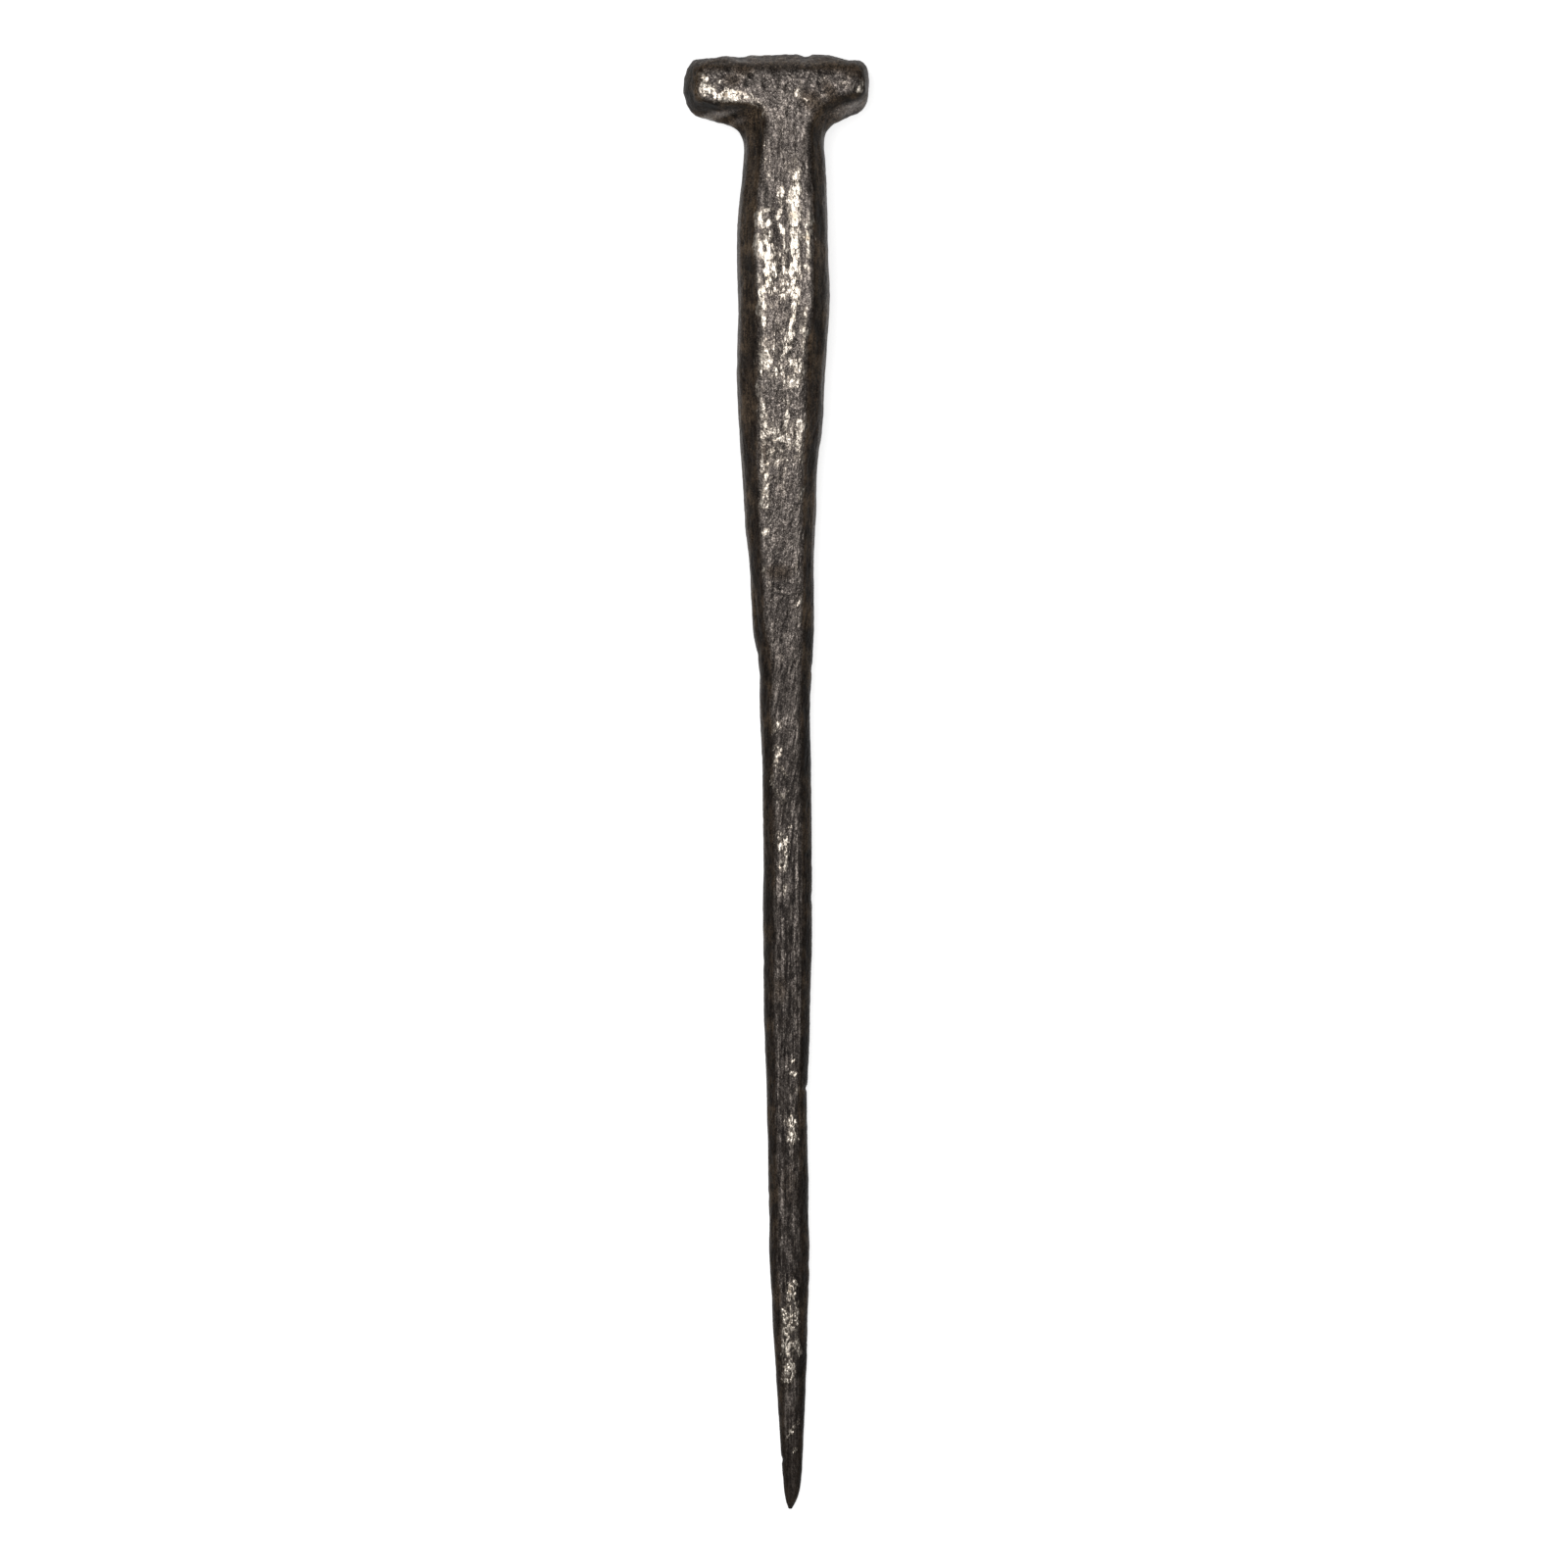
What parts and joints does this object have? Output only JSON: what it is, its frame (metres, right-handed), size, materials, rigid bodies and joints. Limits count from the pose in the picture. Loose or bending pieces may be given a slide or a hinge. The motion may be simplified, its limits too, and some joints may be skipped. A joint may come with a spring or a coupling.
{
  "type": "rail spike",
  "caption": "Hand-forged iron rail spike with a T head, two lugs, a chamfered square shank that swells below the neck, and a long taper to a point.",
  "frame": {"origin": "middle of the bounding box, at the flat back that the spike lies on", "axes": "+Y along the shank from the point towards the striking face, +Z out of the front face, +X across the head"},
  "size_m": [0.0324, 0.254, 0.0159],
  "materials": {
    "wrought_iron": "wrought iron with a dark oxide skin, brown rust tints in the chamfers and burnished bright patches on the flats"
  },
  "bodies": {
    "root": {"spike": "wrought_iron"}
  },
  "joints": []
}
